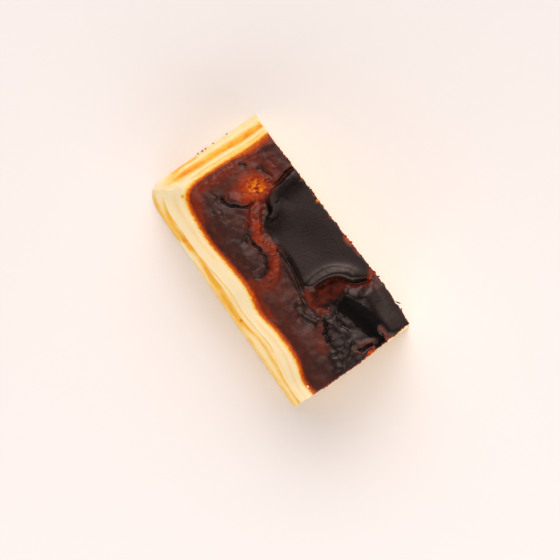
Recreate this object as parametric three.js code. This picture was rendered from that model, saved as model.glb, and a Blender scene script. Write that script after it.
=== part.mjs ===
// A corner piece of burnt-top cheesecake, cut from a rectangular cake baked in a paper-lined tin.
// Millimetres, +Z up, origin under the middle of the base. +X runs along the piece.
// The -X and -Y sides were baked against the paper: they flare outwards and carry a lengthwise crease.
// The +X and +Y sides were cut with a knife. The top is the dark crust, with its folds, puffs and a valley.
// The whole piece is one closed surface: a grid for the crust, rings of points down the sides, a flat base.
import * as THREE from "three";

// Driving dimensions.
const LENGTH = 121; // along X, at the base
const WIDTH = 64.2; // along Y, at the base
const CRUST_LEVEL = 42; // height of the crust where it lies flat
const SHOULDER = { reach: 6, drop: 1.6 }; // the crust rolls over towards the baked sides
const CREASE = { leftHeight: 19.5, frontHeight: 10.5, depth: 1.1, spread: 2.4, wander: 1.3, waves: 6 };
const CUT_FACE_START = 12; // within this distance of a baked corner, a cut face still follows its bulge
const TORN_RIM = { overhang: 0.35, jag: 0.3, pitch: 4.4, beat: 0.59, depth: 1.8 }; // crust proud of a cut

// How finely the surface is divided.
const CELLS_X = 72;
const CELLS_Y = 34;
const CURVE_STEPS = 6; // straight pieces between two points of a fold's line
const FOLD_FADE = 0.12; // share of a fold's line over which it rises from nothing at either end

const halfLength = LENGTH / 2;
const halfWidth = WIDTH / 2;

// The edges of the crust and of the base, as points that a smooth curve passes through.
// Front and back run from -X to +X, left and right from -Y to +Y.
const crustEdges = {
  front: [
    [-44.4, -14.6], [-42.4, -16.8], [-38.4, -18.4], [-29, -19.6], [-20, -20.1], [-8, -18.8], [5, -18],
    [16.5, -20], [29, -18.2], [42, -18.4], [52, -21.4], [59, -20.7],
  ],
  right: [[59, -20.7], [59.1, -10], [58.7, 6], [57.5, 20], [56.8, 30.3]],
  back: [[-45, 27.5], [-22, 28.4], [7, 29.3], [35, 30.8], [56.8, 30.3]],
  left: [[-44.4, -14.6], [-45.6, -11.6], [-45.9, -3], [-45.3, 8], [-44.5, 17.6], [-45, 27.5]],
};
const baseCorner = [-halfLength + 2.2, -halfWidth + 4.9]; // the round corner between the baked sides
const baseEdges = {
  front: [
    baseCorner, [-halfLength + 5.2, -halfWidth + 2.7], [-halfLength + 10, -halfWidth + 1],
    [-halfLength + 18, -halfWidth + 0.2], [0, -halfWidth], [halfLength, -halfWidth],
  ],
  right: [[halfLength, -halfWidth], [halfLength, halfWidth]],
  back: [
    [-halfLength, halfWidth - 1.2], [-halfLength + 18, halfWidth - 1.4], [-halfLength + 50, halfWidth - 0.6],
    [halfLength, halfWidth],
  ],
  left: [
    baseCorner, [-halfLength + 0.6, -halfWidth + 7.6], [-halfLength + 0.1, -halfWidth + 11.5],
    [-halfLength, -halfWidth + 18], [-halfLength, halfWidth - 1.2],
  ],
};

// The profile of a baked side from the crust's edge down: share of the flare, and share of the height.
const SIDE_PROFILE = [
  [0, 1],
  [0.06, 0.985],
  [0.13, 0.955],
  [0.21, 0.895],
  [0.29, 0.8],
  [0.36, 0.69],
  [0.42, 0.59],
  [0.48, 0.51],
  [0.56, 0.44],
  [0.64, 0.375],
  [0.71, 0.295],
  [0.79, 0.2],
  [0.88, 0.105],
  [0.96, 0.035],
  [1, 0.006],
  [0.99, 0],
];

// The crust's raised sheets of skin: how high they stand, the width of their soft edge, their outline.
const SHEETS = [
  {
    // the large smooth sheet at the +Y cut
    rise: 1.5,
    soft: 1.6,
    outline: [
      [-27.5, 34], [-25.3, 23], [-23.8, 15], [-18, 8.4], [-13.4, 3.4], [-5, 2.2], [4.5, 2.8], [13, 2.2],
      [18.6, 2], [17.4, 8], [17.5, 14], [21, 21.6], [27, 25.5], [30, 34],
    ],
  },
  {
    // the sheet at the corner between the two cuts
    rise: 1.7,
    soft: 1.6,
    outline: [
      [29, 15.4], [34, 18.4], [36, 24], [36, 34], [66, 34], [66, 19], [55, 19.6], [46, 18.4], [37, 16],
    ],
  },
  {
    // the wrinkled sheet at the +X cut
    rise: 0.9,
    soft: 1.8,
    outline: [[34, 0], [36, 6], [44, 8.5], [53, 11], [66, 13], [66, -9], [52, -6], [42, -3.4]],
  },
];

// Ridges and furrows of the skin: height, spread to the left and right of the line's direction, line.
const FOLDS = [
  {
    height: 1.1, left: 1.8, right: 2.4,
    line: [[-26.5, 30], [-26.2, 24.5], [-24.2, 19.5], [-23.6, 14]],
  },
  {
    height: 2.0, left: 4.5, right: 1.9,
    line: [[19.6, 3.4], [17, 8.5], [16.6, 12.5], [18.8, 18], [22.5, 22.8], [28.6, 25.2]],
  },
  {
    height: -1.7, left: 1.8, right: 2.4,
    line: [[21.5, 6], [21.6, 12], [25.6, 17.6], [30.6, 22.6], [33.2, 29]],
  },
  { height: 1.5, left: 2.4, right: 2.8, line: [[28.6, 15.4], [33, 18], [35.6, 22], [36.2, 27]] },
  { height: 1.3, left: 4.5, right: 3.2, line: [[36.5, 25.5], [42, 23.8], [48, 23.4], [58, 23]] },
  {
    height: -3.6, left: 2.4, right: 3.6,
    line: [[31, 9.5], [37, 13.4], [43, 15], [49, 16], [60, 17.6]],
  },
  { height: 0.8, left: 2.4, right: 3.2, line: [[35, 6.6], [41.9, 8.6], [48, 10.4], [53, 12.6]] },
  {
    height: 1.2, left: 2.4, right: 2.4,
    line: [[-25, 4.6], [-18, 1], [-11, -1.2], [-4, 0], [2, -2.4], [8, -5]],
  },
  { height: -1.0, left: 1.6, right: 1.6, line: [[2, 1.2], [9, 1.3], [15, 0.6], [19, 0.4]] },
  {
    height: -1.5, left: 1.6, right: 2,
    line: [[-34.2, -5.6], [-31, -5.2], [-28.6, -2.6], [-25.4, 0.6]],
  },
  {
    height: -1.1, left: 1.6, right: 1.6,
    line: [[-13, -4.6], [-6, -5.4], [0, -6], [3.4, -10], [1.4, -15]],
  },
  { height: -1.3, left: 1.8, right: 2.6, line: [[26.6, -8.4], [31.2, -6.8], [35, -3.6]] },
];

// Soft swellings and hollows: middle, half sizes, height.
const PUFFS = [
  { at: [-22, -8], half: [13, 9], height: 1.1 },
  { at: [-5, -11.5], half: [9, 8], height: 1.2 },
  { at: [-34, 8], half: [10, 12], height: 0.6 },
  { at: [28, -3.4], half: [6, 4.5], height: 1.2 },
  { at: [16, -11], half: [16, 8], height: 0.8 },
  { at: [27, 8], half: [8, 8], height: -1.3 },
  { at: [2, 16], half: [18, 13], height: -0.7 },
];

// Rises from 0 to 1 as t goes from 0 to 1, level at both ends.
const smooth = (t) => {
  const s = Math.min(1, Math.max(0, t));
  return s * s * (3 - 2 * s);
};

const flatPoint = ([x, y]) => new THREE.Vector3(x, y, 0);
const edgeCurve = (points) => new THREE.CatmullRomCurve3(points.map(flatPoint));

// The nearest place on a line of points: its distance, its side (+1 left), and its share of the line.
function nearestOn(line, x, y) {
  let best = { distance: Infinity, side: 1, along: 0 };
  for (let i = 0; i + 1 < line.length; i++) {
    const dx = line[i + 1].x - line[i].x;
    const dy = line[i + 1].y - line[i].y;
    const px = x - line[i].x;
    const py = y - line[i].y;
    const t = Math.min(1, Math.max(0, (px * dx + py * dy) / (dx * dx + dy * dy)));
    const distance = Math.hypot(px - t * dx, py - t * dy);
    if (distance < best.distance) {
      const side = Math.sign(dx * py - dy * px) || 1;
      best = { distance, side, along: (i + t) / (line.length - 1) };
    }
  }
  return best;
}

// Whether a point lies inside a closed line, by counting the pieces that a ray crosses.
function inside(line, x, y) {
  let odd = false;
  for (let i = 0; i + 1 < line.length; i++) {
    const a = line[i];
    const b = line[i + 1];
    if (a.y > y !== b.y > y && x < a.x + ((y - a.y) / (b.y - a.y)) * (b.x - a.x)) odd = !odd;
  }
  return odd;
}

const sheetLines = SHEETS.map((sheet) => [...sheet.outline, sheet.outline[0]].map(flatPoint));
const foldLines = FOLDS.map((fold) => edgeCurve(fold.line).getPoints((fold.line.length - 1) * CURVE_STEPS));

const crustCurves = Object.fromEntries(Object.entries(crustEdges).map(([k, line]) => [k, edgeCurve(line)]));
const baseCurves = Object.fromEntries(Object.entries(baseEdges).map(([k, line]) => [k, edgeCurve(line)]));
const bakedEdge = [...crustEdges.left].reverse().concat(crustEdges.front.slice(1)).map(flatPoint);

// Height of the crust above the base at a point.
function crustHeight(x, y) {
  let z = CRUST_LEVEL;
  SHEETS.forEach((sheet, i) => {
    const { distance } = nearestOn(sheetLines[i], x, y);
    const depth = inside(sheetLines[i], x, y) ? distance : -distance;
    z += sheet.rise * smooth(0.5 + depth / (2 * sheet.soft));
  });
  FOLDS.forEach((fold, i) => {
    const { distance, side, along } = nearestOn(foldLines[i], x, y);
    const spread = side > 0 ? fold.left : fold.right;
    const fade = smooth(along / FOLD_FADE) * smooth((1 - along) / FOLD_FADE);
    z += fold.height * fade * Math.exp(-((distance / spread) ** 2));
  });
  for (const puff of PUFFS) {
    const r = Math.hypot((x - puff.at[0]) / puff.half[0], (y - puff.at[1]) / puff.half[1]);
    z += puff.height * smooth(1 - r);
  }
  const { distance } = nearestOn(bakedEdge, x, y);
  return z - SHOULDER.drop * Math.max(0, 1 - distance / SHOULDER.reach) ** 2;
}

// A point inside the crust's outline: a Coons patch of its four edges.
function crustPoint(u, v) {
  const at = (edge, share) => crustCurves[edge].getPointAt(share);
  const across = at("left", v).lerp(at("right", v), u);
  const along = at("front", u).lerp(at("back", u), v);
  const front = at("left", 0).lerp(at("right", 0), u);
  const back = at("left", 1).lerp(at("right", 1), u);
  return across.add(along).sub(front.lerp(back, v));
}

// The columns of the side, anticlockwise from the front left corner: the top and the base of each, the
// direction that it faces, and how much it is part of a cut face, 0 on a baked side and at its corners.
// A corner between a baked and a cut side belongs to the baked one.
function sideColumns() {
  const made = [];
  const bakedCorners = [crustCurves.front.getPointAt(1), crustCurves.left.getPointAt(1)];
  const walks = [
    { edge: "front", cells: CELLS_X, first: 0, last: CELLS_X, forward: true, baked: true },
    { edge: "right", cells: CELLS_Y, first: 1, last: CELLS_Y - 1, forward: true, baked: false },
    { edge: "back", cells: CELLS_X, first: 0, last: CELLS_X - 1, forward: false, baked: false },
    { edge: "left", cells: CELLS_Y, first: 0, last: CELLS_Y - 1, forward: false, baked: true },
  ];
  for (const { edge, cells, first, last, forward, baked } of walks)
    for (let i = first; i <= last; i++) {
      const share = forward ? i / cells : 1 - i / cells;
      const top = crustCurves[edge].getPointAt(share);
      const base = baseCurves[edge].getPointAt(share);
      const ahead = baseCurves[edge].getTangentAt(share).multiplyScalar(forward ? 1 : -1);
      const outward = new THREE.Vector3(ahead.y, -ahead.x, 0);
      const toBaked = Math.min(...bakedCorners.map((corner) => corner.distanceTo(top)));
      made.push({ top, base, outward, baked, cut: baked ? 0 : smooth(toBaked / CUT_FACE_START) });
    }
  return made;
}

const columns = sideColumns();

// How deep the crease of a baked side, left by a fold in the paper, is pressed in at a height. It wanders up
// and down along the side, and runs higher on the left side than on the front.
function creaseDepth(c, z) {
  const { baked, outward } = columns[c];
  if (!baked) return 0;
  const along = (2 * Math.PI * c) / columns.length;
  const wave = Math.sin(CREASE.waves * along) + 0.5 * Math.sin((2 * CREASE.waves + 1) * along + 1);
  const middle = THREE.MathUtils.lerp(CREASE.frontHeight, CREASE.leftHeight, Math.max(0, -outward.x));
  const height = middle + CREASE.wander * wave;
  return CREASE.depth * Math.exp(-(((z - height) / CREASE.spread) ** 2));
}

// How far the torn rim of the crust stands out past a cut face, in small jags, at a depth below the rim.
function rimOverhang(c, fallen) {
  const { top, cut } = columns[c];
  const walk = (2 * Math.PI * (top.x - top.y)) / TORN_RIM.pitch;
  const jag = Math.sin(walk) * Math.sin(TORN_RIM.beat * walk);
  return cut * (TORN_RIM.overhang + TORN_RIM.jag * jag) * (1 - smooth(fallen / TORN_RIM.depth));
}

function cheesecakeGeometry() {
  const positions = [];
  const faces = [];
  const addPoint = (x, y, z) => {
    positions.push(x, y, z);
    return positions.length / 3 - 1;
  };

  // The crust, a grid of points.
  const grid = [];
  for (let i = 0; i <= CELLS_X; i++) {
    grid.push([]);
    for (let j = 0; j <= CELLS_Y; j++) {
      const p = crustPoint(i / CELLS_X, j / CELLS_Y);
      grid[i].push(addPoint(p.x, p.y, crustHeight(p.x, p.y)));
    }
  }
  for (let i = 0; i < CELLS_X; i++)
    for (let j = 0; j < CELLS_Y; j++) {
      const [a, b, c, d] = [grid[i][j], grid[i + 1][j], grid[i + 1][j + 1], grid[i][j + 1]];
      faces.push(a, b, c, a, c, d);
    }

  // Its rim, in the order of the columns, moved out past the cut faces.
  const rim = [];
  for (let i = 0; i < CELLS_X; i++) rim.push(grid[i][0]);
  for (let j = 0; j < CELLS_Y; j++) rim.push(grid[CELLS_X][j]);
  for (let i = CELLS_X; i > 0; i--) rim.push(grid[i][CELLS_Y]);
  for (let j = CELLS_Y; j > 0; j--) rim.push(grid[0][j]);
  rim.forEach((point, c) => {
    positions[3 * point] += columns[c].outward.x * rimOverhang(c, 0);
    positions[3 * point + 1] += columns[c].outward.y * rimOverhang(c, 0);
  });

  // Rings of points from the rim down to the base. A cut face goes straight down, a baked side bulges.
  let above = rim;
  for (const [share, level] of SIDE_PROFILE.slice(1)) {
    const ring = columns.map(({ top, base, outward, cut }, c) => {
      const rimHeight = positions[3 * rim[c] + 2];
      const z = level * rimHeight;
      const reach = THREE.MathUtils.lerp(share, 1 - level, cut);
      const p = top.clone().lerp(base, reach);
      p.addScaledVector(outward, rimOverhang(c, rimHeight - z) - creaseDepth(c, z));
      return addPoint(p.x, p.y, z);
    });
    for (let c = 0; c < columns.length; c++) {
      const next = (c + 1) % columns.length;
      faces.push(above[c], ring[c], ring[next], above[c], ring[next], above[next]);
    }
    above = ring;
  }

  // The flat base, a fan of triangles.
  const centre = addPoint(0, 0, 0);
  for (let c = 0; c < columns.length; c++) faces.push(centre, above[(c + 1) % columns.length], above[c]);

  const geometry = new THREE.BufferGeometry();
  geometry.setAttribute("position", new THREE.Float32BufferAttribute(positions, 3));
  geometry.setIndex(faces);
  geometry.computeVertexNormals();
  return geometry;
}

const cheesecake = new THREE.Mesh(
  cheesecakeGeometry(),
  new THREE.MeshStandardMaterial({ color: 0xf3d79a, roughness: 0.55, metalness: 0 }),
);
cheesecake.name = "cheesecake";

const model = new THREE.Group();
model.add(cheesecake);

export default model;
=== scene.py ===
import bpy
import numpy as np
from mathutils import Matrix, Vector


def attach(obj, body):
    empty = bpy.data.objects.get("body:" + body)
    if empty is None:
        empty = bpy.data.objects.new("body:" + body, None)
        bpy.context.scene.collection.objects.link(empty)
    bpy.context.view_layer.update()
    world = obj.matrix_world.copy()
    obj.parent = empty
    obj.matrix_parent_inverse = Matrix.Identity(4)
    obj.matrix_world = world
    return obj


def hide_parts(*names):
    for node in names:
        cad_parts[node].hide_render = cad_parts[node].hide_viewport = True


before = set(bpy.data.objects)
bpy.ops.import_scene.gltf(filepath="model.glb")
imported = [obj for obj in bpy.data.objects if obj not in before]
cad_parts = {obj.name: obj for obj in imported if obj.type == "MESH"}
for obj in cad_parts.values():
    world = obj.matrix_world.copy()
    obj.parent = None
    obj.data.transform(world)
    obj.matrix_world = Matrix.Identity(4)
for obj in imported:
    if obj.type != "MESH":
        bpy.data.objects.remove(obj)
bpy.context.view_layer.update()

# --------------------
# The camera looks almost straight down from arm's length, turned so that the slice lies slanting.
# Its place and aim are in millimetres from the middle of the slice's base.
camera_at = Vector((30.5, -19.1, 759.5))
camera_aim = Vector((8.8, -3.85, 0.0))
picture_right = Vector((0.5736, 0.8192, 0.0))
sensor = 36.0
focal_length = 106.26


def put_in_scene(name, data):
    """A new object of this name, at the origin and unturned."""
    thing = bpy.data.objects.new(name, data)
    bpy.context.scene.collection.objects.link(thing)
    return thing


backwards = (camera_at - camera_aim).normalized()
upwards = backwards.cross(picture_right).normalized()
rightwards = upwards.cross(backwards)
lens = bpy.data.cameras.new("camera")
lens.lens = focal_length
lens.sensor_width = sensor
lens.clip_start = 0.01
camera = put_in_scene("camera", lens)
camera_turn = Matrix((rightwards, upwards, backwards)).transposed()
camera.matrix_world = Matrix.Translation(camera_at / 1000) @ camera_turn.to_4x4()
bpy.context.scene.camera = camera
bpy.context.scene.view_settings.view_transform = "Standard"

# --------------------
# The table is plain, warm and nearly white. Light comes from a pale room and from soft boxes: one beyond
# the top of the picture, a weaker one at its right, and low ones that fill in the -Y and +X sides.
table_half = 3.0
table_colour = (0.885, 0.80, 0.768, 1.0)

table_mesh = bpy.data.meshes.new("table")
table_mesh.from_pydata(
    [(table_half * i, table_half * j, 0) for i, j in ((-1, -1), (1, -1), (1, 1), (-1, 1))],
    [], [(0, 1, 2, 3)])
table = put_in_scene("table", table_mesh)
table_paint = bpy.data.materials.new("table_paint")
table_paint.use_nodes = True
table_shader = table_paint.node_tree.nodes["Principled BSDF"]
table_shader.inputs["Base Color"].default_value = table_colour
table_shader.inputs["Roughness"].default_value = 0.7
table_shader.inputs["Specular IOR Level"].default_value = 0.2
table_mesh.materials.append(table_paint)


def fill_ramp(ramp, stops):
    """Gives a colour ramp node these stops, each a place and a colour."""
    elements = ramp.color_ramp.elements
    while len(elements) < len(stops):
        elements.new(0.5)
    for stop, (place, colour) in zip(elements, stops):
        stop.position = place
        stop.color = colour


# The room is palest where the light comes from, high up, and pale again low down on the far side.
lit_from = (-0.55, 0.46, 0.70)
room_brightness = [(0.0, 1.25), (0.24, 1.1), (0.38, 0.16), (0.73, 0.12), (0.85, 0.52), (0.94, 1.75),
                   (1.0, 2.6)]
room = bpy.data.worlds.new("room")
room.use_nodes = True
room_nodes, room_links = room.node_tree.nodes, room.node_tree.links
room_direction = room_nodes.new("ShaderNodeTexCoord")
room_lit = room_nodes.new("ShaderNodeVectorMath")
room_lit.operation = "DOT_PRODUCT"
room_lit.inputs[1].default_value = lit_from
room_share = room_nodes.new("ShaderNodeMapRange")
room_share.inputs["From Min"].default_value = -1.0
room_share.inputs["From Max"].default_value = 1.0
room_ramp = room_nodes.new("ShaderNodeValToRGB")
fill_ramp(room_ramp, [(share_lit, (brightness, brightness * 0.99, brightness * 0.985, 1.0))
                      for share_lit, brightness in room_brightness])
room_links.new(room_direction.outputs["Generated"], room_lit.inputs[0])
room_links.new(room_lit.outputs["Value"], room_share.inputs["Value"])
room_links.new(room_share.outputs["Result"], room_ramp.inputs["Fac"])
room_links.new(room_ramp.outputs["Color"], room_nodes["Background"].inputs["Color"])
room_nodes["Background"].inputs["Strength"].default_value = 1.0
bpy.context.scene.world = room


def soft_box(name, place, width, height, watts):
    """A flat square light of width by height metres at a place in metres, facing the slice."""
    light = bpy.data.lights.new(name, "AREA")
    light.shape = "RECTANGLE"
    light.size, light.size_y = width, height
    light.energy = watts
    box = put_in_scene(name, light)
    box.location = place
    box.rotation_euler = (-Vector(place)).to_track_quat("-Z", "Y").to_euler()


soft_box("top_box", (-1.19, 1.02, 1.55), 1.3, 1.08, 9.8)
soft_box("right_box", (0.25, 0.95, 0.6), 0.6, 0.5, 0.2)
soft_box("low_box", (1.15, -0.42, 0.7), 2.0, 0.9, 11.5)
soft_box("front_box", (0.25, -1.05, 0.15), 0.9, 0.24, 2.9)

# --------------------
# The slice is one block of set custard, baked in a paper-lined tin. Its top is burnt to a dark skin that
# sank and folded as it cooled. The -X and -Y sides lay on the paper, and the +X and +Y sides were cut.
cells_x, cells_y = 300, 130
side_rows = 64
half_length, half_width = 60.5, 32.1
crust_level = 42.0

crust_front = [(-44.4, -14.6), (-42.4, -16.8), (-38.4, -18.4), (-29, -19.6), (-20, -20.1), (-8, -18.8),
               (5, -18), (16.5, -20), (29, -18.2), (42, -18.4), (52, -21.4), (59, -20.7)]
crust_right = [(59, -20.7), (59.2, -10), (59, 6), (58.1, 20), (57.4, 30.3)]
crust_back = [(-45, 27.5), (-22, 28.4), (7, 29.3), (35, 30.8), (57.4, 30.3)]
crust_left = [(-44.4, -14.6), (-45.6, -11.6), (-45.9, -3), (-45.3, 8), (-44.5, 17.6), (-45, 27.5)]

base_corner = (-half_length + 1.4, -half_width + 3.9)
base_front = [base_corner, (-half_length + 4.2, -half_width + 1.8), (-half_length + 9, -half_width + 0.6),
              (-half_length + 17, -half_width + 0.15), (0, -half_width), (half_length, -half_width)]
base_right = [(half_length, -half_width), (half_length, half_width)]
base_back = [(-half_length, half_width - 1.2), (-half_length + 18, half_width - 1.4),
             (-half_length + 50, half_width - 0.6), (half_length, half_width)]
base_left = [base_corner, (-half_length + 0.3, -half_width + 7.4), (-half_length + 0.05, -half_width + 11.5),
             (-half_length, -half_width + 18), (-half_length, half_width - 1.2)]

# A baked side from the crust's edge down: share of the flare, and share of the height. In round numbers it
# flares out by 14 mm and is 43 mm high.
flare, side_height = 14, 43
side_profile = [(0, 1), (0.06, 0.985), (0.13, 0.955), (0.21, 0.895), (0.29, 0.8), (0.36, 0.69),
                (0.42, 0.59), (0.48, 0.51), (0.56, 0.44), (0.64, 0.375), (0.71, 0.295), (0.79, 0.2),
                (0.88, 0.105), (0.96, 0.035), (1, 0.006), (0.99, 0)]


def smooth(t):
    """Rises from 0 to 1 as t goes from 0 to 1, level at both ends: t*t*(3 - 2t)."""
    t = np.clip(t, 0, 1)
    return t * t * (3 - 2 * t)


def through(points, steps=10):
    """A smooth line through points: between two of them, the cubic that leaves each one along the chord
    of its neighbours (Catmull-Rom)."""
    p = np.asarray(points, float)
    p = np.vstack([2 * p[0] - p[1], p, 2 * p[-1] - p[-2]])
    t = (np.arange(steps) / steps)[:, None, None]
    a, b, c, d = p[:-3], p[1:-2], p[2:-1], p[3:]
    line = b + 0.5 * ((c - a) * t + (2 * a - 5 * b + 4 * c - d) * t**2 + (3 * b - a - 3 * c + d) * t**3)
    return np.vstack([line.transpose(1, 0, 2).reshape(-1, 2), p[-2]])


def along(line, share):
    """The points at these shares of a line's length."""
    walked = np.concatenate([[0], np.cumsum(np.hypot(*np.diff(line, axis=0).T))])
    return np.stack([np.interp(share * walked[-1], walked, line[:, k]) for k in (0, 1)], -1)


def off_line(line, x, y):
    """Distance from a line of points, above 0 on its left and below 0 on its right, and the share of the
    line's length at which the nearest place lies."""
    steps = np.diff(line, axis=0)
    sizes = np.hypot(*steps.T)
    walked = np.concatenate([[0], np.cumsum(sizes)])
    nearest = np.full(x.shape, np.inf)
    side = np.ones(x.shape)
    share = np.zeros(x.shape)
    for (x0, y0), (dx, dy), size, start in zip(line[:-1], steps, sizes, walked):
        t = np.clip(((x - x0) * dx + (y - y0) * dy) / size**2, 0, 1)
        px, py = x - x0 - t * dx, y - y0 - t * dy
        distance = np.hypot(px, py)
        closer = distance < nearest
        nearest = np.where(closer, distance, nearest)
        side = np.where(closer, np.where(dx * py - dy * px < 0, -1.0, 1.0), side)
        share = np.where(closer, (start + t * size) / walked[-1], share)
    return nearest * side, share


def distance_from(line, x, y):
    """Distance from a line of points, on either side of it."""
    return np.abs(off_line(line, x, y)[0])


def depth_inside(outline, x, y):
    """Distance in from a closed outline, below 0 outside it. A point is inside where a ray towards +X
    crosses the outline an odd number of times."""
    line = np.vstack([outline, outline[:1]]).astype(float)
    odd = np.zeros(x.shape, bool)
    for (x0, y0), (x1, y1) in zip(line[:-1], line[1:]):
        if y0 != y1:
            odd ^= ((y0 > y) != (y1 > y)) & (x < x0 + (y - y0) / (y1 - y0) * (x1 - x0))
    distance = distance_from(line, x, y)
    return np.where(odd, distance, -distance)


def grain(x, y, size, seed):
    """Perlin noise from about -1 to 1: random slopes stand at the corners of a net whose squares are
    `size` wide, and the heights that they give are blended across each square."""
    net = 64
    angle = np.random.default_rng(seed).uniform(0, 2 * np.pi, (net, net))
    x, y = x / size + 8 * net, y / size + 8 * net
    i, j = np.floor(x).astype(int), np.floor(y).astype(int)
    fx, fy = x - i, y - j

    def corner(a, b):
        t = angle[(i + a) % net, (j + b) % net]
        return np.cos(t) * (fx - a) + np.sin(t) * (fy - b)

    sx = fx**3 * (fx * (fx * 6 - 15) + 10)
    sy = fy**3 * (fy * (fy * 6 - 15) + 10)
    low = corner(0, 0) * (1 - sx) + corner(1, 0) * sx
    high = corner(0, 1) * (1 - sx) + corner(1, 1) * sx
    return 1.5 * (low * (1 - sy) + high * sy)


def spot(x, y, middle, half, turned=0):
    """1 at the middle of an ellipse with these half sizes, 0 at its edge, level at both."""
    c, s = np.cos(np.radians(turned)), np.sin(np.radians(turned))
    dx, dy = x - middle[0], y - middle[1]
    return smooth(1 - np.hypot((dx * c + dy * s) / half[0], (dy * c - dx * s) / half[1]))


def stroke(x, y, points, left, right, fade=0.12):
    """1 on a line and falling off as a bell on each side, with its own spread to the left and the right.
    It rises from nothing over a share `fade` of the line at each end."""
    line = through(points, 6)
    reach = 3 * max(left, right)
    near = ((x > line[:, 0].min() - reach) & (x < line[:, 0].max() + reach)
            & (y > line[:, 1].min() - reach) & (y < line[:, 1].max() + reach))
    out = np.zeros(x.shape)
    offset, share = off_line(line, x[near], y[near])
    ends = smooth(share / fade) * smooth((1 - share) / fade) if fade else 1.0
    out[near] = ends * np.exp(-((offset / np.where(offset > 0, left, right)) ** 2))
    return out


# The skin's raised sheets: how far they stand up, the width of their soft edge, their outline.
big_sheet = [(-27, 34), (-25.3, 23), (-24.8, 15), (-21, 11.4), (-17, 9.4), (-14.8, 6.6), (-14.2, 3.2),
             (-5, 2.6), (4.5, 2.6), (13, 2.4), (18.6, 2.2), (21.4, 6), (21.8, 12), (24, 17), (28, 20),
             (31, 23), (33, 28), (33, 34)]
corner_sheet = [(30, 15), (32.4, 17.6), (34, 21), (34.6, 27), (35, 34), (66, 34), (66, 18.6), (55, 18.2),
                (46, 17.4), (37, 15.6)]
wrinkled_sheet = [(35, 0.6), (35.6, 5), (44, 7), (53, 9), (66, 10), (66, -9), (52, -6), (42, -2.4)]
sheets = [(0.5, 0.7, big_sheet), (1.4, 3.4, corner_sheet), (0.5, 2.6, wrinkled_sheet)]

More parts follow.
